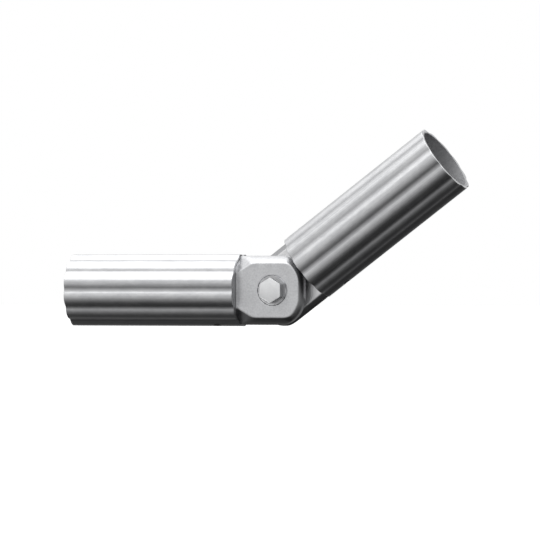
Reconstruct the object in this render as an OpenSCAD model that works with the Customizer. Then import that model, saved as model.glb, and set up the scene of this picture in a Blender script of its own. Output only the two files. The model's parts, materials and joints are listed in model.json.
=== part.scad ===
// Adjustable handrail joiner: two fluted spigots on a half-lap knuckle that turns about a hex bolt.
// The origin is the centre of the fixed spigot's inner end, +X runs on to the pivot and +Z is up.
// The bolt lies along Y, with its head at the front, which is -Y.

/* [Spigots] */
// Outside diameter over the lands, which slides into a handrail's bore
spigot_d = 43.8; // [40:0.1:48]
// Length of each fluted tube
spigot_len = 106; // [70:1:150]
// Wall of each fluted tube
spigot_wall = 2.8; // [2.2:0.1:3.6]
// Flutes around each tube
flute_count = 12; // [8:1:14]
// Radius of a flute, centred on the outside of the tube
flute_r = 1.3; // [0.6:0.1:1.5]
// Angle of the fixed tube's first flute above its front
fixed_flute_phase = 1; // [0:1:29]
// Angle of the swing tube's first flute above its front
swing_flute_phase = 18; // [0:1:29]
// Depth that the inner end's bore is reamed for the plug
ream = 0.2; // [0.1:0.05:0.4]

/* [Knuckles] */
// Step down from the spigot's outside to the knuckle's neck
neck_step = 0.7; // [0.5:0.1:2]
// Thickness of each ear
ear_t = 13; // [9:0.2:13.6]
// Reach of an ear's blunt end beyond the pivot
ear_reach = 18.4; // [18:0.1:21]
// Radius of the two corners of that end
ear_corner_r = 17; // [12:0.5:18]
// Chamfer around each ear's lap face
lap_chamfer = 3.8; // [1:0.1:4.5]
// Chamfer around the outer face of an ear's blunt end
end_face_chamfer = 2.3; // [1:0.1:4]
// Width of an ear's outer flat where it leaves the tube
flat_neck_w = 20.6; // [16:0.2:26]
// Length of that flat's two corner facets, along the arm
flat_corner_len = 10.4; // [6:0.2:13]
// Angle of the corner facets to the flat
flat_corner_slope = 45; // [30:5:60]
// Length of the plug inside each tube
plug_len = 28; // [18:1:50]
// How far the plug's face stands out of the tube
plug_face = 0.4; // [0.2:0.1:1]
// Bend of the swing arm as it is drawn
rest_bend = 37; // [0:1:85]

/* [Pivot bolt] */
// Diameter of the bolt
bolt_d = 8; // [6:0.5:9]
// Bolt head across its flats
head_af = 13; // [11:0.5:16]
// Height of the bolt head
head_h = 5.3; // [4:0.1:7]
// Lock nut across its flats
nut_af = 13; // [12.5:0.5:16]
// Height of the nut's hexagon
nut_hex_h = 6.3; // [5:0.1:8]
// Height of the round collar that holds the nut's nylon ring
nut_collar_h = 1.7; // [1.4:0.1:3]
// Radial thickness of the nylon ring
insert_wall = 1; // [0.6:0.1:1.2]
// Metal around the nylon ring
collar_wall = 0.6; // [0.4:0.1:0.8]
// Diameter of the washer under the nut
washer_d = 16; // [14.5:0.5:18]
// Thickness of that washer
washer_t = 1.6; // [1:0.1:2.5]
// Thickness of the friction disc between the ears
disc_t = 1; // [0.5:0.1:2]
// Ring of lap face left bare around the friction disc
disc_margin = 0.9; // [0.5:0.1:4]
// Depth of the round seats cut for the head and the washer
seat_depth = 0.5; // [0.2:0.1:1.5]
// Thread left standing out of the nut
thread_end = 0.8; // [0.2:0.1:3]

/* [Spring pins] */
// Diameter of the pin through each tube and plug
pin_d = 5; // [3:0.5:6]
// Wall of the rolled pin
pin_wall = 1; // [0.5:0.1:1.4]
// Width of the pin's slot
pin_slot = 1; // [0.5:0.1:1.2]
// How far each end of a pin lies below the tube's outside
pin_sunk = 0.6; // [0.3:0.1:1.2]
// Angle above the front that each pin lies nearest to, on a land
pin_turn = 105; // [90:5:120]

/* [Clearances] */
// Between plug and reamed bore, on the radius
plug_fit = 0.05; // [0.02:0.01:0.1]
// Between bolt and ears, on the radius
pivot_fit = 0.05; // [0.02:0.01:0.1]
// Between the thread and the nut, its ring, the washer or the disc, on the radius
thread_fit = 0.05; // [0.02:0.01:0.2]
// Between nylon ring and its groove
insert_fit = 0.05; // [0.02:0.01:0.1]
// Between pin and hole, on the radius
pin_fit = 0.05; // [0.02:0.01:0.1]
// Between an ear's end and the other arm's plug
swing_clear = 0.8; // [0.3:0.1:1.5]
// Between the seats and what lies on them, on the radius
seat_clear = 1.5; // [0.5:0.1:2]

/* [Hidden] */
$fn = 96;
cut = 1;

spigot_r = spigot_d / 2;
bore_r = spigot_r - spigot_wall;
plug_seat_r = bore_r + ream;
neck_r = spigot_r - neck_step;
flute_pitch = 360 / flute_count;
fixed_pin_angle = pin_land(fixed_flute_phase);
swing_pin_angle = pin_land(swing_flute_phase);

corner_x = ear_reach - ear_corner_r;
corner_z = neck_r - ear_corner_r;
ear_sweep_r = norm([corner_x, corner_z]) + ear_corner_r;
pivot_x = plug_face + swing_clear + ear_sweep_r;
lap_y = disc_t / 2;
flat_y = lap_y + ear_t;
seat_y = flat_y - seat_depth;
flat_z = sqrt(neck_r * neck_r - flat_y * flat_y);

bolt_r = bolt_d / 2;
hole_r = bolt_r + thread_fit;
head_corner_r = head_af / 2 / cos(30);
nut_corner_r = nut_af / 2 / cos(30);
head_seat_r = head_corner_r + seat_clear;
washer_seat_r = washer_d / 2 + seat_clear;
insert_r = hole_r + insert_wall;
collar_r = insert_r + insert_fit + collar_wall;
nut_y = seat_y + washer_t;
collar_y = nut_y + nut_hex_h;
nut_end_y = collar_y + nut_collar_h;
bolt_end_y = nut_end_y + thread_end;
end_chamfer = bolt_d / 10;

// Angle of the land that a pin goes through
function pin_land(phase) = let (first_land = phase + flute_pitch / 2)
    first_land + flute_pitch * round((pin_turn - first_land) / flute_pitch);

// Round bar along X
module bar_x(r, x0, x1) translate([x0, 0, 0]) rotate([0, 90, 0]) cylinder(r = r, h = x1 - x0);

// Round bar along Y on the pivot's axis
module bar_y(r, y0, y1) translate([pivot_x, y0, 0]) rotate([-90, 0, 0]) cylinder(r = r, h = y1 - y0);

// Cone along Y on the pivot's axis
module cone_y(r0, r1, y0, y1) translate([pivot_x, y0, 0]) rotate([-90, 0, 0])
    cylinder(r1 = r0, r2 = r1, h = y1 - y0);

// Plan drawn in X and Z, made solid from y0 to y1
module plate_y(y0, y1) translate([0, y1, 0]) rotate([90, 0, 0]) linear_extrude(y1 - y0) children();

// Hexagon on the pivot's axis, corners up and down, with the corners of one end turned off
module hex_y(af, corner_r, y0, y1, turned_end) intersection() {
    plate_y(y0, y1) translate([pivot_x, 0]) rotate(30) circle(r = corner_r, $fn = 6);
    translate([pivot_x, y0, 0]) rotate([-90, 0, 0]) hex_turning(af / 2, corner_r, y1 - y0, turned_end);
}

// Turned blank whose chamfer takes off a hexagon's corners
module hex_turning(flat_r, corner_r, h, turned_end) {
    drop = (corner_r - flat_r) * tan(30);
    low = turned_end == "low";
    translate([0, 0, low ? h : 0]) mirror([0, 0, low ? 1 : 0]) union() {
        cylinder(r = corner_r + cut, h = h - drop);
        translate([0, 0, h - drop]) cylinder(r1 = corner_r, r2 = flat_r, h = drop);
    }
}

// Moves a piece drawn beyond the pivot to the swing arm's bend
module at_swing() translate([pivot_x, 0, 0]) rotate([0, -rest_bend, 0]) translate([pivot_x, 0, 0])
    children();

// Round corner of an ear's end, above or below the pivot, chamfered around both faces
module ear_corner(side) translate([corner_x, 0, side * corner_z]) {
    bar_y(ear_corner_r, end_face_chamfer - flat_y, -lap_y - lap_chamfer);
    cone_y(ear_corner_r - end_face_chamfer, ear_corner_r, -flat_y, end_face_chamfer - flat_y);
    cone_y(ear_corner_r, ear_corner_r - lap_chamfer, -lap_y - lap_chamfer, -lap_y);
}

// Straight middle of an ear's end, between its corners
module ear_middle() translate([pivot_x, 0, -corner_z]) linear_extrude(2 * corner_z)
    polygon([[0, -flat_y], [ear_reach - end_face_chamfer, -flat_y], [ear_reach, end_face_chamfer - flat_y],
        [ear_reach, -lap_y - lap_chamfer], [ear_reach - lap_chamfer, -lap_y], [0, -lap_y]]);

// Straight part of an ear, from the tube past the pivot, with its lap face chamfered along both sides
module ear_sides() rotate([90, 0, 90]) linear_extrude(pivot_x + corner_x)
    polygon([[-spigot_r, -neck_r], [-lap_y - lap_chamfer, -neck_r], [-lap_y, lap_chamfer - neck_r],
        [-lap_y, neck_r - lap_chamfer], [-lap_y - lap_chamfer, neck_r], [-spigot_r, neck_r]]);

// Facet that takes the flat's upper corner off where it leaves the tube
module flat_corner() {
    half_w = flat_neck_w / 2;
    translate([0, -flat_y, half_w]) rotate([0, -atan2(flat_z - half_w, flat_corner_len), 0])
        rotate([90 - flat_corner_slope, 0, 0]) translate([-spigot_d, -spigot_d, 0])
        cube([2 * spigot_d, 2 * spigot_d, spigot_d]);
}

// Ear with its straight sides, its blunt end and the two facets of its flat
module ear() difference() {
    intersection() {
        bar_x(neck_r, 0, pivot_x + ear_reach + cut);
        union() {
            ear_corner(1);
            ear_corner(-1);
            ear_middle();
            ear_sides();
        }
    }
    flat_corner();
    mirror([0, 0, 1]) flat_corner();
}

// Hole or pin across the arm, at an angle above the front
module across_arm(angle, r, half_len) translate([-plug_len / 2, 0, 0]) rotate([90 - angle, 0, 0])
    cylinder(r = r, h = 2 * half_len, center = true);

module spigot_tube(phase) difference() {
    bar_x(spigot_r, -spigot_len, 0);
    bar_x(bore_r, -spigot_len - cut, cut);
    bar_x(plug_seat_r, -plug_len, cut);
    for (i = [0 : flute_count - 1]) rotate([-phase - i * flute_pitch, 0, 0])
        translate([0, -spigot_r, 0]) bar_x(flute_r, -spigot_len - cut, cut);
    across_arm(pin_land(phase), pin_d / 2 + pin_fit, spigot_r + cut);
}

module knuckle(pin_hole_angle, seat_r) difference() {
    union() {
        bar_x(plug_seat_r - plug_fit, -plug_len, plug_face);
        ear();
    }
    translate([0, -spigot_r, -spigot_r]) cube([pivot_x + spigot_d, spigot_r - flat_y, spigot_d]);
    bar_y(bolt_r + pivot_fit, -spigot_r, cut);
    bar_y(seat_r, -spigot_r, -seat_y);
    across_arm(pin_hole_angle, pin_d / 2 + pin_fit, spigot_r);
}

module spring_pin(angle) {
    half_len = spigot_r - pin_sunk;
    difference() {
        across_arm(angle, pin_d / 2, half_len);
        across_arm(angle, pin_d / 2 - pin_wall, half_len + cut);
        translate([-plug_len / 2, 0, 0]) rotate([90 - angle, 0, 0])
            translate([0, -pin_slot / 2, -half_len - cut]) cube([pin_d, pin_slot, 2 * (half_len + cut)]);
    }
}

module fixed_spigot_tube() color([0.80, 0.81, 0.82]) spigot_tube(fixed_flute_phase);

module swing_spigot_tube() color([0.80, 0.81, 0.82]) at_swing() mirror([1, 0, 0])
    spigot_tube(swing_flute_phase);

module fixed_knuckle() color([0.66, 0.67, 0.69]) knuckle(fixed_pin_angle, head_seat_r);

// The same casting turned end for end, so its ear lies behind the fixed one
module swing_knuckle() color([0.66, 0.67, 0.69]) at_swing() rotate([0, 0, 180])
    knuckle(180 - swing_pin_angle, washer_seat_r);

module pivot_bolt() color([0.86, 0.87, 0.88]) {
    hex_y(head_af, head_corner_r, -seat_y - head_h, -seat_y, "low");
    bar_y(bolt_r, -seat_y - end_chamfer, bolt_end_y - end_chamfer);
    cone_y(bolt_r, bolt_r - end_chamfer, bolt_end_y - end_chamfer, bolt_end_y);
}

module friction_disc() color([0.16, 0.16, 0.17]) difference() {
    bar_y(ear_reach - lap_chamfer - disc_margin, -lap_y, lap_y);
    bar_y(hole_r, -lap_y - cut, lap_y + cut);
}

module nut_washer() color([0.82, 0.83, 0.84]) difference() {
    bar_y(washer_d / 2, seat_y, nut_y);
    bar_y(hole_r, seat_y - cut, nut_y + cut);
}

module lock_nut() color([0.82, 0.83, 0.84]) difference() {
    union() {
        hex_y(nut_af, nut_corner_r, nut_y, collar_y, "high");
        bar_y(collar_r, collar_y - cut, nut_end_y);
    }
    bar_y(hole_r, nut_y - cut, nut_end_y + cut);
    bar_y(insert_r + insert_fit, collar_y, nut_end_y + cut);
}

module lock_nut_insert() color([0.16, 0.33, 0.62]) difference() {
    bar_y(insert_r, collar_y, nut_end_y);
    bar_y(hole_r, collar_y - cut, nut_end_y + cut);
}

module fixed_spring_pin() color([0.55, 0.56, 0.58]) spring_pin(fixed_pin_angle);

module swing_spring_pin() color([0.55, 0.56, 0.58]) at_swing() mirror([1, 0, 0])
    spring_pin(swing_pin_angle);

fixed_spigot_tube();
swing_spigot_tube();
fixed_knuckle();
swing_knuckle();
pivot_bolt();
friction_disc();
nut_washer();
lock_nut();
lock_nut_insert();
fixed_spring_pin();
swing_spring_pin();
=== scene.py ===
import json
import math

import bmesh
import bpy
import numpy as np
from mathutils import Matrix, Vector


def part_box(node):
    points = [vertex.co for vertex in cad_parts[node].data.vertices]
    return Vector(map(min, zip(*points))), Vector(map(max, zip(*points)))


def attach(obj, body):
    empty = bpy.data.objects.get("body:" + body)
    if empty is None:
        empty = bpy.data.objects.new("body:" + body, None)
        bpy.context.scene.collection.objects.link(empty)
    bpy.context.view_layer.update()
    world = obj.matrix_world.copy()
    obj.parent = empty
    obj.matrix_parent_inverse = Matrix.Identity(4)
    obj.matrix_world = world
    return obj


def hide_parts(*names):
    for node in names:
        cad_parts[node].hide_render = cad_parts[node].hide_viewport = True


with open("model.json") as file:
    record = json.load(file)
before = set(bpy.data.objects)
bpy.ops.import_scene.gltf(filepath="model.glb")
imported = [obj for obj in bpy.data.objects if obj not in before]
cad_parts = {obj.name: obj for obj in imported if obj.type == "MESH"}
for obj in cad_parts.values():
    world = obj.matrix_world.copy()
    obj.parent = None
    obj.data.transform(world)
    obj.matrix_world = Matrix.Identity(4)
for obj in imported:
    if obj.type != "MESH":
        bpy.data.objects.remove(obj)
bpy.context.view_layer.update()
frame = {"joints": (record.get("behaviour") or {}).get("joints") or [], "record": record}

# Lengths are in millimetres until a mesh is made, in the frame's own axes. Shaders work in metres.
scene = bpy.context.scene
mm = 1000
mounts = {mount["name"]: mount for mount in frame["record"]["mounts"]}
pivot = Vector(frame["joints"][0]["pos_m"])


def corners(node):
    low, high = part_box(node)
    return low * mm, high * mm


boltLow, boltHigh = corners("pivot_bolt")
knuckleHigh = corners("fixed_knuckle")[1]
discLow, discHigh = corners("friction_disc")
washerLow, washerHigh = corners("nut_washer")
nutLow, nutHigh = corners("lock_nut")
insertLow, insertHigh = corners("lock_nut_insert")
pinLow, pinHigh = corners("fixed_spring_pin")

spigotR = mounts["fixed_spigot"]["dims"]["r_mm"]
spigotLen = mounts["fixed_spigot"]["dims"]["length_mm"]
boreR = mounts["fixed_bore"]["dims"]["r_mm"]
plugLen = spigotLen - mounts["fixed_bore"]["dims"]["length_mm"]
pivotX = pivot.x * mm
earReach = knuckleHigh.x - pivotX
lapY = discHigh.y
seatY = washerLow.y

# Each arm has its own frame: the tube runs along -X from 0, and the ear lies towards -Y.
# The phase turns the flutes, and aim is about where the spring pin comes out, both in degrees.
swingAxis = mounts["swing_spigot"]["axis"]
bend = math.atan2(swingAxis[2], swingAxis[0])
bentOver = Matrix.Translation(pivot) @ Matrix.Rotation(-bend, 4, "Y")
swingPlace = bentOver @ Matrix.Translation((pivot.x, 0, 0)) @ Matrix.Rotation(math.pi, 4, "Z")
arms = {
    "fixed": {"body": "fixed_arm", "place": Matrix.Identity(4), "phase": 1.0, "aim": 105.0},
    "swing": {"body": "swing_arm", "place": swingPlace, "phase": -18.0, "aim": 75.0},
}
# On the pivot's axis, local +Z runs out of the bolt's head, and of the nut for the back.
headPlace = Matrix.Translation((pivot.x, -seatY / mm, 0)) @ Matrix.Rotation(math.pi / 2, 4, "X")
backPlace = Matrix.Translation((pivot.x, 0, 0)) @ Matrix.Rotation(-math.pi / 2, 4, "X")
sharpAngle = 32


def shade(mesh, angle):
    mesh.shade_smooth()
    mesh.set_sharp_from_angle(angle=math.radians(angle))


# A flattened piece has its place in its mesh, so its shader works in the frame's own axes.
def addPiece(name, points, faces, place, sharp=sharpAngle, flatten=False):
    mesh = bpy.data.meshes.new(name)
    mesh.from_pydata((np.asarray(points, float) / mm).tolist(), [], faces)
    mesh.update()
    shade(mesh, sharp)
    if flatten:
        mesh.transform(place)
        place = Matrix.Identity(4)
    piece = bpy.data.objects.new(name, mesh)
    scene.collection.objects.link(piece)
    piece.matrix_world = place
    return piece


def dress(piece, body, node, material):
    piece.data.materials.clear()
    piece.data.materials.append(material)
    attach(piece, body)
    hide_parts(node)
    print(f"{piece.name}: {len(piece.data.polygons)} faces")


# Faces between rings of equal count, closed into a loop or capped at both ends
def loft(rings, loop):
    rings = np.asarray(rings, float)
    count = rings.shape[1]
    index = np.arange(rings.shape[0] * count).reshape(-1, count)
    here = index if loop else index[:-1]
    there = np.roll(index, -1, axis=0) if loop else index[1:]
    quads = np.stack([here, np.roll(here, -1, axis=1), np.roll(there, -1, axis=1), there], axis=-1)
    faces = quads.reshape(-1, 4).tolist()
    if not loop:
        faces += [index[0][::-1].tolist(), index[-1].tolist()]
    return rings.reshape(-1, 3), faces


def ring(radius, height, count):
    turn = np.arange(count) * 2 * np.pi / count
    radius = np.broadcast_to(radius, count)
    height = np.broadcast_to(height, count)
    return np.stack([radius * np.cos(turn), radius * np.sin(turn), height], axis=1)


def setStops(stops, levels):
    while len(stops) < len(levels):
        stops.new(0.5)
    for stop, (position, grey) in zip(stops, levels):
        stop.position = position
        stop.color = (grey, grey, grey, 1)


# One shader socket, with arithmetic, and one way to make every other node
class Wire:
    def __init__(self, tree, socket=None):
        self.tree = tree
        self.socket = socket

    def make(self, kind, settings=None, inputs=None, output=0):
        node = self.tree.nodes.new("ShaderNode" + kind)
        for key, value in (settings or {}).items():
            if key == "stops":
                setStops(node.color_ramp.elements, value)
            else:
                setattr(node, key, value)
        for key, value in (inputs or {}).items():
            if isinstance(value, Wire):
                self.tree.links.new(value.socket, node.inputs[key])
            else:
                node.inputs[key].default_value = value
        return Wire(self.tree, node.outputs[output] if len(node.outputs) else None)

    def maths(self, operation, *values):
        return self.make("Math", {"operation": operation}, dict(enumerate(values)))

    def __add__(self, other):
        return self.maths("ADD", self, other)

    def __radd__(self, other):
        return self.maths("ADD", other, self)

    def __sub__(self, other):
        return self.maths("SUBTRACT", self, other)

    def __rsub__(self, other):
        return self.maths("SUBTRACT", other, self)

    def __mul__(self, other):
        return self.maths("MULTIPLY", self, other)

    def __rmul__(self, other):
        return self.maths("MULTIPLY", other, self)

    def __abs__(self):
        return self.maths("ABSOLUTE", self)

    def sine(self):
        return self.maths("SINE", self)

    def larger(self, other):
        return self.maths("MAXIMUM", self, other)

    def hypot(self, other):
        return self.maths("SQRT", self * self + other * other)

    def step(self, low, high):
        return self.make("MapRange", {"interpolation_type": "SMOOTHSTEP"}, {0: self, 1: low, 2: high})

    def part(self, axis):
        return self.make("SeparateXYZ", None, {0: self}, axis)

    def vector(self, operation, other, output=0):
        return self.make("VectorMath", {"operation": operation}, {0: self, 1: other}, output)

    def dot(self, other):
        return self.vector("DOT_PRODUCT", other, "Value")

    def noise(self, scale, detail=2.0, rough=0.5):
        inputs = {"Vector": self.vector("MULTIPLY", scale), "Scale": 1.0, "Detail": detail, "Roughness": rough}
        return self.make("TexNoise", None, inputs)

    def blend(self, first, second):
        return self.make("Mix", {"data_type": "RGBA"}, {0: self, 6: first, 7: second}, 2)


# The sum of the named layers, each times its weight
def weighted(layers, weights):
    parts = [layers[name] * weight for name, weight in weights.items()]
    return sum(parts[1:], parts[0])


def newMaterial(name):
    material = bpy.data.materials.new(name)
    material.use_nodes = True
    material.node_tree.nodes.clear()
    return material, Wire(material.node_tree)


def closeMaterial(wire, height, bump, inputs):
    strength, distance = bump
    normal = wire.make("Bump", None, {"Strength": strength, "Distance": distance, "Height": height})
    surface = wire.make("BsdfPrincipled", None, {**inputs, "Normal": normal})
    wire.make("OutputMaterial", None, {"Surface": surface})


# In each look, a noise is its scale on the three axes, its detail and its roughness, and a bump its strength
# and depth. An edge is where a mask starts and where it is full.
def drawnAluminium():
    look = {
        "bright": (0.73, 0.735, 0.745, 1),
        "dull": (0.60, 0.605, 0.62, 1),
        # grey for the painted shade, and for the slightly darker sawn ends
        "grime": (0.10, 0.10, 0.105, 1),
        "noises": {
            "lines": ((9, 1900, 1900), 3.0, 0.6),
            "fine": ((30, 5200, 5200), 2.0),
            "stain": ((70, 130, 130), 4.0, 0.6),
            "mottle": ((260, 620, 620), 3.0, 0.6),
            "saw": ((300, 500, 4200), 2.0),
        },
        "outsideEdge": (0.0197, 0.0200),
        "ridgeEdge": (0.0206, 0.0212),
        "sawnEdge": (0.9, 0.97),
        "innerEdge": (-0.0015, -0.0005),
        "toneEdge": (0.38, 0.62),
        "toneOf": {"lines": 0.4, "stain": 0.3, "mottle": 0.3},
        # weights of the painted shade in the flute valleys, the bore and the end at the knuckle, and of the
        # darker tone of the sawn ends
        "grimeOf": {"groove": 0.26, "bore": 0.33, "sawn": 0.16, "inner": 0.2},
        "drawnOf": {"lines": 0.6, "fine": 0.4},
        "rough": 0.24,
        "roughOf": {"lines": 0.08, "stain": 0.06, "mottle": 0.06, "sawn": 0.12, "bore": 0.30},
        "bump": (0.10, 0.00015),
    }
    material, wire = newMaterial("drawnAluminium")
    place = wire.make("TexCoord", output="Object")
    normal = wire.make("TexCoord", output="Normal")
    layers = {layer: place.noise(*noise) for layer, noise in look["noises"].items()}
    radius = place.part("Y").hypot(place.part("Z"))
    outside = radius.step(*look["outsideEdge"])
    sawn = abs(normal.part("X")).step(*look["sawnEdge"])
    layers["bore"] = 1 - outside
    layers["sawn"] = sawn
    layers["groove"] = (1 - radius.step(*look["ridgeEdge"])) * outside * (1 - sawn)
    layers["inner"] = place.part("X").step(*look["innerEdge"]) * sawn  # the end at the knuckle
    colour = weighted(layers, look["toneOf"]).step(*look["toneEdge"]).blend(look["dull"], look["bright"])
    # painted shade: the flute valleys, the bore and the end at the knuckle darken towards a grey; the sawn ends
    # are a little darker in tone
    colour = weighted(layers, look["grimeOf"]).blend(colour, look["grime"])
    rough = look["rough"] + weighted(layers, look["roughOf"])
    height = weighted(layers, look["drawnOf"]) * (1 - sawn) + layers["saw"] * sawn
    closeMaterial(wire, height, look["bump"], {"Base Color": colour, "Metallic": 1.0, "Roughness": rough})
    return material


# The root is where the casting meets its tube, and outwards is the tube's way from there.
def castAluminium(name, root, outwards):
    look = {
        "light": (0.80, 0.805, 0.82, 1),
        "dark": (0.66, 0.665, 0.68, 1),
        "worn": (0.84, 0.845, 0.86, 1),
        "milled": (0.92, 0.92, 0.93, 1),
        # grey for the painted shade, and for the darker as-cast sides
        "grime": (0.08, 0.08, 0.085, 1),
        "noises": {
            "grain": ((2600, 2600, 2600), 3.0, 0.6),
            "pits": ((900, 900, 900), 2.0),
            "cloud": ((110, 110, 110), 4.0, 0.6),
        },
        "lapEdge": (0.00055, 0.0008),
        "earEdge": (0.001, 0.002),
        "seatEdge": (0.0125, 0.0128),
        "seatRim": (0.0088, 0.0092),
        "jointEdge": (0.0002, 0.0008),
        "grooveEdge": (0.0045, 0.0065),
        "tipEdge": (0.45, 0.8),
        "faceEdge": (0.88, 0.97),
        "clearOfSeat": (0.0098, 0.0106),
        "underEdge": (0.3, 0.8),
        "recessIn": (0.0060, 0.0068),
        "recessOut": (0.0080, 0.0086),
        "wornEdge": (0.54, 0.62),
        "toneEdge": (0.36, 0.64),
        "toneOf": {"cloud": 0.4, "pits": 0.4, "grain": 0.2},
        "milledOf": {"lap": 0.9, "seat": 0.3},
        "wear": 0.7,
        # strengths of the painted shade at the seam, in the groove, on the ear's end, underneath and round the
        # head, and of the darker as-cast sides
        "jointDirt": 0.42,
        "grooveDirt": 0.55,
        "tipDirt": 0.55,
        "sideDirt": 0.2,
        "underDirt": 0.38,
        "recessDirt": 0.32,
        "rough": 0.30,
        "roughOf": {"cloud": 0.10, "edge": -0.08, "milled": -0.04},
        "heightOf": {"grain": 0.7, "pits": 0.6},
        "cutFlat": 0.7,
        "toolMarks": 0.15,
        "toolPitch": 7000,
        "bump": (0.22, 0.00025),
    }
    material, wire = newMaterial(name)
    place = wire.make("TexCoord", output="Object")
    normal = wire.make("TexCoord", output="Normal")
    layers = {layer: place.noise(*noise) for layer, noise in look["noises"].items()}
    inwards = [-part for part in outwards]
    along = place.vector("SUBTRACT", root).dot(inwards)
    aside = abs(place.part("Y"))
    radius = (place.part("X") - pivot.x).hypot(place.part("Z"))
    # the milled lap face and spot face
    lap = (1 - aside.step(*look["lapEdge"])) * along.step(*look["earEdge"])
    seat = aside.step(*look["seatEdge"]) * (1 - radius.step(*look["seatRim"]))
    milled = lap + seat
    # painted shade round the tube's end, in the groove between the ears, on the ear's end, on the underside and
    # round the bolt's head, as a painted shadow; the as-cast sides are a little darker in tone
    joint = 1 - along.step(*look["jointEdge"])
    groove = (1 - aside.step(*look["grooveEdge"])) * (1 - lap) * (1 - joint)
    tip = normal.dot(inwards).step(*look["tipEdge"])
    side = (1 - abs(normal.part("Y")).step(*look["faceEdge"])) * radius.step(*look["clearOfSeat"])
    under = (normal.part("Z") * -1).step(*look["underEdge"])
    recess = seat * radius.step(*look["recessIn"]) * (1 - radius.step(*look["recessOut"]))
    shadeAndSkin = (joint * look["jointDirt"]).larger(groove * look["grooveDirt"]).larger(tip * look["tipDirt"])
    shadeAndSkin = shadeAndSkin.larger(side * look["sideDirt"] + under * look["underDirt"]).larger(recess * look["recessDirt"])
    edge = wire.make("NewGeometry", output="Pointiness").step(*look["wornEdge"])
    layers.update({"lap": lap, "seat": seat, "milled": milled, "edge": edge})
    colour = weighted(layers, look["toneOf"]).step(*look["toneEdge"]).blend(look["dark"], look["light"])
    colour = (edge * look["wear"]).blend(colour, look["worn"])
    colour = weighted(layers, look["milledOf"]).blend(colour, look["milled"])
    # darken towards the grey where shade is painted and on the as-cast sides
    colour = shadeAndSkin.blend(colour, look["grime"])
    rough = look["rough"] + weighted(layers, look["roughOf"])
    marks = (radius * look["toolPitch"]).sine() * milled
    height = weighted(layers, look["heightOf"]) * (1 - look["cutFlat"] * milled) + marks * look["toolMarks"]
    closeMaterial(wire, height, look["bump"], {"Base Color": colour, "Metallic": 1.0, "Roughness": rough})
    return material


def zincPlate():
    look = {
        "light": (0.98, 0.985, 0.99, 1),
        "dark": (0.92, 0.925, 0.94, 1),
        # grey for the painted shade on the hexagons' side walls
        "tarnish": (0.20, 0.20, 0.21, 1),
        "noises": {"cloud": ((320, 320, 320), 4.0, 0.6), "grain": ((2200, 2200, 2200), 3.0)},
        "turnedEdge": (0.95, 0.99),
        "levelEdge": (0.1, 0.6),
        "toneEdge": (0.3, 0.7),
        "toneOf": {"cloud": 0.8, "grain": 0.2},
        # how strongly the side walls take the painted shade, evenly and by the cloud noise
        "wallTarnish": 0.5,
        "cloudTarnish": 0.4,
        "rough": 0.30,
        "roughOf": {"turned": 0.10, "cloud": 0.12},
        "heightOf": {"grain": 0.5, "rings": 0.12},
        "ringPitch": 5200,
        "bump": (0.12, 0.0001),
    }
    material, wire = newMaterial("zincPlate")
    place = wire.make("TexCoord", output="Object")
    level = abs(wire.make("TexCoord", output="Normal").part("Z"))
    layers = {layer: place.noise(*noise) for layer, noise in look["noises"].items()}
    radius = place.part("X").hypot(place.part("Y"))
    layers["turned"] = level.step(*look["turnedEdge"])
    layers["rings"] = (radius * look["ringPitch"]).sine() * layers["turned"]
    # painted shade: the hexagons' side walls darken towards a grey, more in some places than others
    wall = 1 - level.step(*look["levelEdge"])
    tarnish = wall * (look["wallTarnish"] + look["cloudTarnish"] * layers["cloud"])
    colour = weighted(layers, look["toneOf"]).step(*look["toneEdge"]).blend(look["dark"], look["light"])
    colour = tarnish.blend(colour, look["tarnish"])
    rough = look["rough"] + weighted(layers, look["roughOf"])
    height = weighted(layers, look["heightOf"])
    closeMaterial(wire, height, look["bump"], {"Base Color": colour, "Metallic": 1.0, "Roughness": rough})
    return material


def springSteel():
    look = {
        "light": (0.30, 0.305, 0.315, 1),
        "dark": (0.16, 0.163, 0.17, 1),
        "noises": {"streak": ((1800, 1800, 90), 3.0), "cloud": ((600, 600, 600), 3.0)},
        "toneEdge": (0.35, 0.65),
        "toneOf": {"streak": 0.5, "cloud": 0.5},
        "rough": 0.38,
        "cloudRough": 0.15,
        "bump": (0.15, 0.0001),
    }
    material, wire = newMaterial("springSteel")
    place = wire.make("TexCoord", output="Object")
    layers = {layer: place.noise(*noise) for layer, noise in look["noises"].items()}
    colour = weighted(layers, look["toneOf"]).step(*look["toneEdge"]).blend(look["dark"], look["light"])
    rough = look["rough"] + layers["cloud"] * look["cloudRough"]
    inputs = {"Base Color": colour, "Metallic": 1.0, "Roughness": rough}
    closeMaterial(wire, layers["streak"], look["bump"], inputs)
    return material


def nylon(name, light, dark, roughness):
    look = {
        "cloud": ((400, 400, 400), 3.0),
        "grain": ((3000, 3000, 3000), 2.0),
        "toneEdge": (0.35, 0.65),
        "cloudRough": 0.12,
        "specular": 0.4,
        "bump": (0.15, 0.0001),
    }
    material, wire = newMaterial(name)
    place = wire.make("TexCoord", output="Object")
    cloud = place.noise(*look["cloud"])
    colour = cloud.step(*look["toneEdge"]).blend(dark, light)
    rough = roughness + cloud * look["cloudRough"]
    inputs = {"Base Color": colour, "Roughness": rough, "Specular IOR Level": look["specular"]}
    closeMaterial(wire, place.noise(*look["grain"]), look["bump"], inputs)
    return material


materials = {
    "extruded_aluminium": drawnAluminium(),
    "plated_steel": zincPlate(),
    "spring_steel": springSteel(),
    "friction_nylon": nylon("blackNylon", (0.055, 0.055, 0.058, 1), (0.03, 0.03, 0.032, 1), 0.42),
    "insert_nylon": nylon("blueNylon", (0.10, 0.24, 0.56, 1), (0.07, 0.17, 0.42, 1), 0.34),
}
print("materials made")

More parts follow.
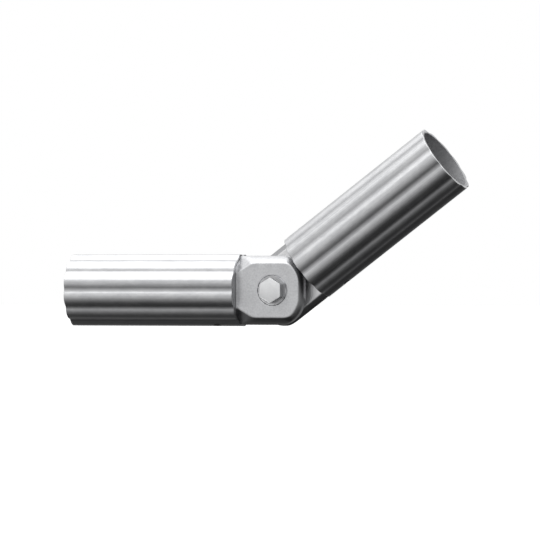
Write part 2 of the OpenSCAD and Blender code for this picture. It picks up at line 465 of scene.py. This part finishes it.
# Fluted tubes, each cross-drilled for its spring pin
tube = {
    "lobes": 12,
    "depth": 1.25,
    "valley": 1.6,  # half the width of a flute's round bottom
    "perLobe": 30,
    "crowd": 0.4,  # draws the points of a lobe towards its flutes
    "inset": 0.02,
    "chamfer": 0.2,
    "seat": 19.3,  # reamed for the plug
    "rings": (0.13, 0.3, 0.5, 0.7, 0.9),  # parts of the length, for an even mesh
    "boreRing": 0.6,
    "hole": 2.55,
    "holeSides": 40,
    "sink": 3.4,  # the drill's radius where it stands clear of the tube
    "sinkDepth": 0.35,
    "clear": 1.0,
    "weld": 5e-6,
}


def lobedOutline(phase):
    pitch = 2 * math.pi / tube["lobes"]
    part = np.arange(tube["perLobe"]) / tube["perLobe"]
    past = pitch * (part - tube["crowd"] * np.sin(2 * np.pi * part) / (2 * np.pi))
    turn = math.radians(phase) + (np.arange(tube["lobes"])[:, None] * pitch + past).ravel()
    away = np.tile(np.minimum(past, pitch - past), tube["lobes"])
    crest = spigotR - tube["inset"]
    half = crest * pitch / 2
    slope = 2 * tube["depth"] / half
    arc = away * crest
    valley = crest - tube["depth"] + slope * arc ** 2 / (2 * tube["valley"])
    lobe = crest - slope * (half - arc) ** 2 / (2 * (half - tube["valley"]))
    return turn, np.where(arc < tube["valley"], valley, lobe)


# The pin comes out on the crest of the lobe that is nearest to its aim.
def crestAngle(phase, aim):
    pitch = 360 / tube["lobes"]
    first = phase + pitch / 2
    return first + pitch * round((aim - first) / pitch)


def drillTube(piece, drillPlace):
    rim = spigotR - tube["sinkDepth"]
    top = spigotR + tube["clear"]
    profile = [(tube["sink"], -top), (tube["hole"], -rim), (tube["hole"], rim), (tube["sink"], top)]
    rings = [ring(radius, height, tube["holeSides"]) for radius, height in profile]
    cutter = addPiece("cutter", *loft(rings, False), drillPlace)
    drill = piece.modifiers.new("drill", "BOOLEAN")
    drill.object = cutter
    drill.operation = "DIFFERENCE"
    drill.solver = "EXACT"
    bpy.context.view_layer.update()
    drilled = bpy.data.meshes.new_from_object(piece.evaluated_get(bpy.context.evaluated_depsgraph_get()))
    piece.modifiers.clear()
    piece.data = drilled
    clean = bmesh.new()
    clean.from_mesh(drilled)
    bmesh.ops.remove_doubles(clean, verts=clean.verts, dist=tube["weld"])
    bmesh.ops.dissolve_degenerate(clean, edges=clean.edges, dist=tube["weld"])
    clean.to_mesh(drilled)
    clean.free()
    shade(drilled, sharpAngle)
    bpy.data.objects.remove(cutter)


def buildTube(name, arm):
    turn, outside = lobedOutline(arm["phase"])
    count = len(turn)
    cut = tube["chamfer"]
    seat = tube["seat"]
    profile = [(0, outside - cut), (-cut, outside)]
    profile += [(-spigotLen * part, outside) for part in tube["rings"]]
    profile += [(-spigotLen + cut, outside), (-spigotLen, outside - cut)]
    profile += [(-spigotLen, boreR + cut), (-spigotLen + cut, boreR)]
    profile += [(-spigotLen * tube["boreRing"], boreR), (-plugLen, boreR)]
    profile += [(-plugLen, seat), (-cut, seat), (0, seat + cut)]
    rings = []
    for x, radius in profile:
        radius = np.broadcast_to(radius, count)
        rings.append(np.stack([np.full(count, x), -radius * np.cos(turn), radius * np.sin(turn)], axis=1))
    piece = addPiece(name, *loft(rings, True), arm["place"])
    drillTube(piece, arm["pinPlace"])
    return piece


# Slotted spring pins
pin = {"wall": 1.0, "slot": 1.0, "sunk": 0.6, "chamfer": 0.45, "arc": 36}
pinR = (pinHigh.x - pinLow.x) / 2


def buildPin(name, arm):
    half = spigotR - pin["sunk"]
    inner = pinR - pin["wall"]
    gap = pin["slot"] / 2
    cut = pin["chamfer"]
    rings = []
    for height, outer in ((-half, pinR - cut), (-half + cut, pinR), (half - cut, pinR), (half, pinR - cut)):
        outerGap = math.asin(gap / outer)
        innerGap = math.asin(gap / inner)
        outerTurn = np.linspace(outerGap, 2 * math.pi - outerGap, pin["arc"])
        innerTurn = np.linspace(2 * math.pi - innerGap, innerGap, pin["arc"])
        xs = np.concatenate([outer * np.cos(outerTurn), inner * np.cos(innerTurn)])
        ys = np.concatenate([outer * np.sin(outerTurn), inner * np.sin(innerTurn)])
        rings.append(np.stack([xs, ys, np.full(len(xs), height)], axis=1))
    return addPiece(name, *loft(rings, False), arm["pinPlace"])


# Half-lap castings: a distance field with rounded edges, meshed on a grid
casting = {
    "neckStep": 0.7,
    "seatDepth": 0.5,
    "seatR": {"fixed": 9.0, "swing": 9.5},
    "boltHole": 4.05,
    "plugR": 19.25,
    "plugFace": 0.4,
    "plugFade": 1.0,
    "halfFlat": 10.3,
    "corner": 10.4,
    "cornerR": 17.0,
    "lapChamfer": 3.8,
    "endChamfer": 2.3,
    # radii of the edges
    "sideEdge": 0.8,
    "chamferEdge": 1.3,
    "lapEdge": 0.6,
    "facetEdge": 0.9,
    "flatEdge": 0.45,
    "plugEdge": 1.2,
    "seatEdge": 0.2,
    # the grid, and how its points are drawn onto the surface
    "step": 0.45,
    "margin": 1.1,
    "rounds": 3,
    "nudge": 0.02,
    "leastSlope": 0.2,
    "mostMove": 0.2,
    "sharp": 40,
}
neckR = spigotR - casting["neckStep"]
flatY = seatY + casting["seatDepth"]
deepInside = -9.0  # a distance that never wins


# The larger of two distances, with the edge between them rounded
def roundMax(first, second, radius):
    outer = np.hypot(np.maximum(first + radius, 0), np.maximum(second + radius, 0))
    return np.minimum(np.maximum(first, second), -radius) + outer


def earField(x, y, z):
    rod = np.hypot(y, z) - neckR
    height = np.abs(z)
    cornerR = casting["cornerR"]
    ahead = x - pivotX - earReach + cornerR
    aloft = height - neckR + cornerR
    outer = np.hypot(np.maximum(ahead, 0), np.maximum(aloft, 0))
    side = outer + np.minimum(np.maximum(ahead, aloft), 0) - cornerR
    lapCut = (side + y + lapY + casting["lapChamfer"]) / math.sqrt(2)
    endCut = (side - y - flatY + casting["endChamfer"]) / math.sqrt(2)
    chamfers = np.maximum(lapCut, np.where(ahead > 0, endCut, deepInside))
    ear = roundMax(roundMax(side, rod, casting["sideEdge"]), chamfers, casting["chamferEdge"])
    ear = roundMax(ear, y + lapY, casting["lapEdge"])
    # the flat widens from the tube's end to its full height
    flatZ = math.sqrt(neckR ** 2 - flatY ** 2)
    slope = (flatZ - casting["halfFlat"]) / casting["corner"]
    past = (height - casting["halfFlat"] - slope * x) / math.hypot(1, slope)
    ear = roundMax(ear, (past - y - flatY) / math.sqrt(2), casting["facetEdge"])
    return np.maximum(roundMax(ear, -flatY - y, casting["flatEdge"]), -x)


def castingField(x, y, z, holeTurn, seatR):
    face = casting["plugFace"] * np.clip(casting["plugFade"] + y + flatY, 0, 1)
    plug = roundMax(np.hypot(y, z) - casting["plugR"], -plugLen - x, casting["plugEdge"])
    body = np.minimum(earField(x, y, z), np.maximum(plug, x - face))
    fromPivot = np.hypot(x - pivotX, z)
    seat = np.maximum(fromPivot - seatR, y + seatY)
    body = roundMax(body, -seat, casting["seatEdge"])
    body = np.maximum(body, casting["boltHole"] - fromPivot)
    aside = y * math.sin(holeTurn) + z * math.cos(holeTurn)
    pinHole = np.hypot(x + plugLen / 2, aside) - tube["hole"]
    return np.maximum(body, -pinHole)


# One point in each cell that the surface crosses, and one face across each crossed edge
def surfaceNet(field, low, step):
    inside = field < 0
    shape = np.array(field.shape) - 1
    total = np.zeros(shape, int)
    offsets = [(i, j, k) for i in (0, 1) for j in (0, 1) for k in (0, 1)]
    for i, j, k in offsets:
        total += inside[i:i + shape[0], j:j + shape[1], k:k + shape[2]]
    cells = np.argwhere((total > 0) & (total < len(offsets)))
    spots = np.zeros((len(cells), 3))
    hits = np.zeros(len(cells))
    for start in offsets:
        for axis in range(3):
            if start[axis]:
                continue
            end = list(start)
            end[axis] = 1
            first = field[tuple((cells + start).T)]
            second = field[tuple((cells + end).T)]
            crossed = (first < 0) != (second < 0)
            share = np.where(crossed, first / np.where(crossed, first - second, 1), 0)
            spot = np.array(start) + share[:, None] * (np.array(end) - start)
            spots += np.where(crossed[:, None], spot, 0)
            hits += crossed
    points = np.array(low) + (cells + spots / hits[:, None]) * step
    number = np.full(shape, -1)
    number[tuple(cells.T)] = np.arange(len(cells))
    faces = []
    for axis in range(3):
        lower = np.take(inside, range(shape[axis]), axis)
        upper = np.take(inside, range(1, shape[axis] + 1), axis)
        edges = np.argwhere(lower != upper)
        side, other = [way for way in range(3) if way != axis]
        edges = edges[(edges[:, side] > 0) & (edges[:, other] > 0)]
        edges = edges[(edges[:, side] < shape[side]) & (edges[:, other] < shape[other])]
        around = []
        for stepSide, stepOther in ((0, 0), (1, 0), (1, 1), (0, 1)):
            cell = edges.copy()
            cell[:, side] -= stepSide
            cell[:, other] -= stepOther
            around.append(number[tuple(cell.T)])
        quads = np.stack(around, axis=1)
        outwards = lower[tuple(edges.T)] ^ (axis == 1)
        quads[~outwards] = quads[~outwards][:, ::-1]
        faces += quads.tolist()
    return points, faces


def buildKnuckle(name, arm, seatR):
    step = casting["step"]
    nudge = casting["nudge"]
    move = casting["mostMove"]
    reach = neckR + casting["margin"]
    low = np.array([-plugLen - casting["margin"], -reach, -reach])
    high = np.array([pivotX + earReach + casting["margin"], reach, reach])
    counts = np.ceil((high - low) / step).astype(int) + 1
    grid = np.meshgrid(*[low[axis] + np.arange(counts[axis]) * step for axis in range(3)], indexing="ij")
    turn = math.radians(arm["pin"])
    points, faces = surfaceNet(castingField(*grid, turn, seatR), low, step)
    for _ in range(casting["rounds"]):
        value = castingField(*points.T, turn, seatR)
        slope = np.zeros_like(points)
        for axis in range(3):
            shift = np.zeros(3)
            shift[axis] = nudge
            ahead = castingField(*(points + shift).T, turn, seatR)
            behind = castingField(*(points - shift).T, turn, seatR)
            slope[:, axis] = (ahead - behind) / (2 * nudge)
        size = np.maximum((slope ** 2).sum(axis=1), casting["leastSlope"])
        points = points - np.clip(value / size, -move, move)[:, None] * slope
    return addPiece(name, points, faces, arm["place"], casting["sharp"], True)


for side, arm in arms.items():
    arm["pin"] = crestAngle(arm["phase"], arm["aim"])
    acrossTube = Matrix.Rotation(math.radians(90 - arm["pin"]), 4, "X")
    arm["pinPlace"] = arm["place"] @ (Matrix.Translation((-plugLen / 2 / mm, 0, 0)) @ acrossTube)
    tubePiece = buildTube(side + "Tube", arm)
    dress(tubePiece, arm["body"], side + "_spigot_tube", materials["extruded_aluminium"])
    pinPiece = buildPin(side + "Pin", arm)
    dress(pinPiece, arm["body"], side + "_spring_pin", materials["spring_steel"])
    knucklePiece = buildKnuckle(side + "Knuckle", arm, casting["seatR"][side])
    spigot = mounts[side + "_spigot"]
    finish = castAluminium(side + "CastAluminium", spigot["pos_m"], spigot["axis"])
    dress(knucklePiece, arm["body"], side + "_knuckle", finish)
print("arms built")

# Hexagons of the bolt's head and the lock nut, with blunt corners and chamfered faces
hexagon = {"points": 96, "blunt": 0.12, "soft": 0.06, "chamfer": 30}


def hexRadius(flats):
    turn = np.arange(hexagon["points"]) * 2 * np.pi / hexagon["points"]
    off = (turn + math.pi / 6) % (math.pi / 3) - math.pi / 6
    straight = flats / 2 / np.cos(off)
    corner = flats / 2 / math.cos(math.pi / 6) - hexagon["blunt"]
    soft = hexagon["soft"]
    return -soft * np.log(np.exp(-straight / soft) + np.exp(-corner / soft))


def chamferDrop(radius, top):
    return np.maximum(radius - top, 0) * math.tan(math.radians(hexagon["chamfer"]))


bolt = {
    "r": 4.0,
    "inset": 0.02,
    "endFlat": (1.3, 1.0),  # two rings of the flat end, in from the radius
    "pitch": 1.25,
    "depth": 0.6,
    "stepsPerTurn": 10,
    "start": 0.12,
    "runOut": 1.5,
    "crest": (1.25, 0.12),  # steepness of the thread's flanks and width of its crest
    "point": 0.9,
    "shank": 0.6,
    "face": 6.2,
    "faceHeight": 0.25,
    "foot": 0.12,
    "crown": 1.12,  # radius of the head's flat top, in halves of its width across the flats
    "chamferEdge": ((0.0, -0.08), (0.09, 0.03)),  # in from the hexagon, and up from the chamfer
    "crownEdge": ((0.16, 0.06, 0.03), (0.30, -0.06, 0.0)),  # in from the hexagon, out from the top, and down
}


def buildBolt():
    count = hexagon["points"]
    turn = np.arange(count) * 2 * np.pi / count
    flats = boltHigh.x - boltLow.x
    outline = hexRadius(flats)
    top = flats / 2 * bolt["crown"]
    headHeight = -boltLow.y - seatY
    end = -(seatY + boltHigh.y) + bolt["inset"]
    threadTop = -(seatY + washerLow.y)
    steep, width = bolt["crest"]
    profile = [(bolt["r"] - part, end) for part in bolt["endFlat"]]
    for height in np.arange(end + bolt["start"], threadTop, bolt["pitch"] / bolt["stepsPerTurn"]):
        wave = np.abs(((height / bolt["pitch"] - turn / (2 * np.pi)) % 1) * 2 - 1)
        fade = min(1.0, (threadTop - height) / bolt["runOut"])
        thread = bolt["r"] - bolt["depth"] * np.clip(wave * steep - width, 0, 1) * fade
        profile.append((np.minimum(thread, bolt["r"] - bolt["point"] + (height - end)), height))
    profile += [(bolt["r"], threadTop), (bolt["r"], -bolt["shank"]), (bolt["r"], -bolt["inset"])]
    profile += [(bolt["face"], 0.0), (bolt["face"], bolt["faceHeight"])]
    profile += [(outline - bolt["foot"], bolt["faceHeight"]), (outline, bolt["faceHeight"] + bolt["foot"])]
    slant = headHeight - chamferDrop(outline, top)
    profile += [(outline - part, slant + rise) for part, rise in bolt["chamferEdge"]]
    for part, out, down in bolt["crownEdge"]:
        profile.append((np.minimum(outline - part, top + out), headHeight - down))
    rings = [ring(radius, height, count) for radius, height in profile]
    return addPiece("pivotBolt", *loft(rings, False), headPlace)


nut = {
    "bore": 4.05,
    "mouth": 0.5,
    "inset": 0.02,
    "crown": 0.95,  # radius of its flat faces, in halves of its width across the flats
    "edge": 0.08,
    "footCut": 0.05,
    "topCut": 0.06,
    "collar": 5.7,
    "fillet": 0.25,
    "rim": ((0.0, 0.55), (0.14, 0.2), (0.4, 0.0)),  # in from the collar, and down from its top
    "insert": 5.0,
    "lip": ((0.1, 0.04), (0.1, 0.2), (-0.06, 0.3)),  # in from the insert's radius, and down from the top
    "pocket": 0.06,
    "pocketFloor": 0.02,
}


def buildNut():
    flats = nutHigh.x - nutLow.x
    outline = hexRadius(flats)
    top = flats / 2 * nut["crown"]
    drop = chamferDrop(outline, top)
    low = nutLow.y
    high = nutHigh.y - nut["inset"]
    crown = insertLow.y
    floor = crown + nut["pocketFloor"]
    profile = [(nut["bore"] + nut["mouth"], low), (top, low), (outline - nut["footCut"], low + drop)]
    profile += [(outline, low + drop + nut["edge"]), (outline, crown - drop - nut["edge"])]
    profile += [(outline - nut["topCut"], crown - drop), (top, crown)]
    profile += [(nut["collar"] + nut["fillet"], crown), (nut["collar"], crown + nut["fillet"])]
    profile += [(nut["collar"] - part, high - down) for part, down in nut["rim"]]
    profile += [(nut["insert"] - part, high - down) for part, down in nut["lip"]]
    profile += [(nut["insert"] + nut["pocket"], floor), (nut["bore"], floor), (nut["bore"], low + nut["mouth"])]
    rings = [ring(radius, height, hexagon["points"]) for radius, height in profile]
    return addPiece("lockNut", *loft(rings, True), backPlace)


def buildTurned(name, profile, count):
    rings = [ring(radius, height, count) for radius, height in profile]
    return addPiece(name, *loft(rings, True), backPlace)


# Stamped washer, with a small chamfer towards the casting and a rolled rim towards the nut
washer = {"hole": 4.2, "underCut": 0.15, "mouth": 0.2, "rim": 0.4, "rimMiddle": 0.12, "points": 72}


def buildWasher():
    low, high = washerLow.y, washerHigh.y
    outer = (washerHigh.x - washerLow.x) / 2
    hole, cut, mouth = washer["hole"], washer["underCut"], washer["mouth"]
    profile = [(hole, low + cut), (hole + cut, low), (outer - cut, low), (outer, low + cut)]
    profile += [(outer, high - washer["rim"]), (outer - washer["rimMiddle"], high - washer["rimMiddle"])]
    profile += [(outer - washer["rim"], high), (hole + mouth, high), (hole, high - mouth)]
    return buildTurned("nutWasher", profile, washer["points"])


# Nylon ring in the nut's pocket, under its crimped lip
insert = {"hole": 4.06, "floor": 0.05, "sunk": 0.35, "edge": 0.1, "mouthR": 4.3, "mouth": 0.25, "points": 72}


def buildInsert():
    low = insertLow.y + insert["floor"]
    top = insertHigh.y - insert["sunk"]
    outer, edge = nut["insert"], insert["edge"]
    profile = [(insert["hole"], low), (outer, low), (outer, top - edge), (outer - edge, top)]
    profile += [(insert["mouthR"], top), (insert["hole"], top - insert["mouth"])]
    return buildTurned("lockNutInsert", profile, insert["points"])


# Friction disc between the lap faces
disc = {"hole": 4.06, "clear": 0.03, "edge": 0.2, "points": 96}


def buildDisc():
    half = lapY - disc["clear"]
    outer = (discHigh.x - discLow.x) / 2
    hole, edge = disc["hole"], disc["edge"]
    profile = [(hole, -half), (outer - edge, -half), (outer, -half + edge)]
    profile += [(outer, half - edge), (outer - edge, half), (hole, half)]
    return buildTurned("frictionDisc", profile, disc["points"])


dress(buildBolt(), "fixed_arm", "pivot_bolt", materials["plated_steel"])
dress(buildNut(), "fixed_arm", "lock_nut", materials["plated_steel"])
dress(buildWasher(), "fixed_arm", "nut_washer", materials["plated_steel"])
dress(buildInsert(), "fixed_arm", "lock_nut_insert", materials["insert_nylon"])
dress(buildDisc(), "fixed_arm", "friction_disc", materials["friction_nylon"])
print("fasteners built")

# Camera, level and fitted to the photograph's edges
shot = {
    "azimuth": 18.17,
    "distance": 3.0,
    "right": -0.0054,
    "up": 0.01206,
    "lens": 336.6,
    "sensor": 36,
    "far": 50,
}


def setCamera():
    azimuth = math.radians(shot["azimuth"])
    back = Vector((math.sin(azimuth), -math.cos(azimuth), 0))
    up = Vector((0, 0, 1))
    right = up.cross(back)
    camera = bpy.data.objects.new("camera", bpy.data.cameras.new("camera"))
    camera.data.lens = shot["lens"]
    camera.data.sensor_width = shot["sensor"]
    camera.data.clip_end = shot["far"]
    spot = pivot + back * shot["distance"] + right * shot["right"] + up * shot["up"]
    camera.matrix_world = Matrix.Translation(spot) @ Matrix((right, up, back)).transposed().to_4x4()
    scene.collection.objects.link(camera)
    scene.camera = camera


setCamera()
print("camera set")

# A room that grows brighter from its foot to its top, and is dim at the back on the right
room = {
    "stops": [
        (0.0, 0.03), (0.05, 0.05), (0.16, 0.19), (0.265, 0.29), (0.4, 0.53),
        (0.525, 0.70), (0.65, 0.80), (0.78, 1.0), (0.9, 1.6), (1.0, 2.0),
    ],
    "dimWay": (0.8, 0.6, 0.0),
    "dimEdge": (-0.5, 0.7),
    "dimTop": (0.02, 0.32),
    "dim": 0.85,
    # a paler band in the dim part, below the middle
    "bandEdge": (0.55, 0.9),
    "bandLow": (-0.6, -0.35),
    "bandHigh": (-0.2, 0.0),
    "band": 0.6,
    "footEdge": (-0.8, -0.4),
    "foot": 0.28,
    "leftEdge": (0.4, 0.75),
    "left": 0.2,
}


# What the camera sees of it directly is white.
def setRoom():
    scene.view_settings.view_transform = "Standard"
    world = bpy.data.worlds.new("room")
    scene.world = world
    world.use_nodes = True
    world.node_tree.nodes.clear()
    sky = Wire(world.node_tree)
    direction = sky.make("TexCoord", output="Generated")
    across, depth, lift = (direction.part(axis) for axis in ("X", "Y", "Z"))
    ramp = sky.make("ValToRGB", {"stops": room["stops"]}, {0: lift * 0.5 + 0.5})
    dim = direction.dot(room["dimWay"]).step(*room["dimEdge"]) * (1 - lift.step(*room["dimTop"]))
    band = lift.step(*room["bandLow"]) * (1 - lift.step(*room["bandHigh"]))
    band = across.larger(depth).step(*room["bandEdge"]) * band
    dim = dim * (1 - room["band"] * band)
    dim = dim * (1 - room["foot"] + room["foot"] * lift.step(*room["footEdge"]))
    left = (across * -1).step(*room["leftEdge"])
    strength = 1 - room["dim"] * dim - room["left"] * left
    seen = sky.make("LightPath", output="Is Camera Ray")
    strength = strength * (1 - seen) + seen
    glow = sky.make("Background", None, {"Color": seen.blend(ramp, (1, 1, 1, 1)), "Strength": strength})
    sky.make("OutputWorld", None, {"Surface": glow})


# Pale floor, which the bright metal doesn't mirror
ground = {
    "height": -0.16,
    "size": 40.0,
    "dark": (0.90, 0.90, 0.90, 1),
    "light": (0.92, 0.92, 0.92, 1),
    "mottle": (3, 3, 3),
    "toneEdge": (0.2, 0.8),
    "rough": 0.9,
    "bump": (0.02, 0.001),
}


def setFloor():
    half = ground["size"] / 2 * mm
    base = ground["height"] * mm
    points = [(-half, -half, base), (half, -half, base), (half, half, base), (-half, half, base)]
    floor = addPiece("floor", points, [[0, 1, 2, 3]], Matrix.Identity(4))
    paint, wire = newMaterial("palePaint")
    mottle = wire.make("TexCoord", output="Object").noise(ground["mottle"])
    colour = mottle.step(*ground["toneEdge"]).blend(ground["dark"], ground["light"])
    closeMaterial(wire, mottle, ground["bump"], {"Base Color": colour, "Roughness": ground["rough"]})
    floor.data.materials.append(paint)
    floor.visible_glossy = False


# Soft light from above on the left
lamp = {"size": 1.4, "power": 5.0, "place": (-0.35, -0.45, 1.3), "tilt": 18, "lean": -15}


def setLamp():
    key = bpy.data.objects.new("key", bpy.data.lights.new("key", "AREA"))
    key.data.size = lamp["size"]
    key.data.energy = lamp["power"]
    tilt = Matrix.Rotation(math.radians(lamp["tilt"]), 4, "X")
    lean = Matrix.Rotation(math.radians(lamp["lean"]), 4, "Y")
    key.matrix_world = Matrix.Translation(lamp["place"]) @ tilt @ lean
    scene.collection.objects.link(key)


setRoom()
setFloor()
setLamp()
print("room set")
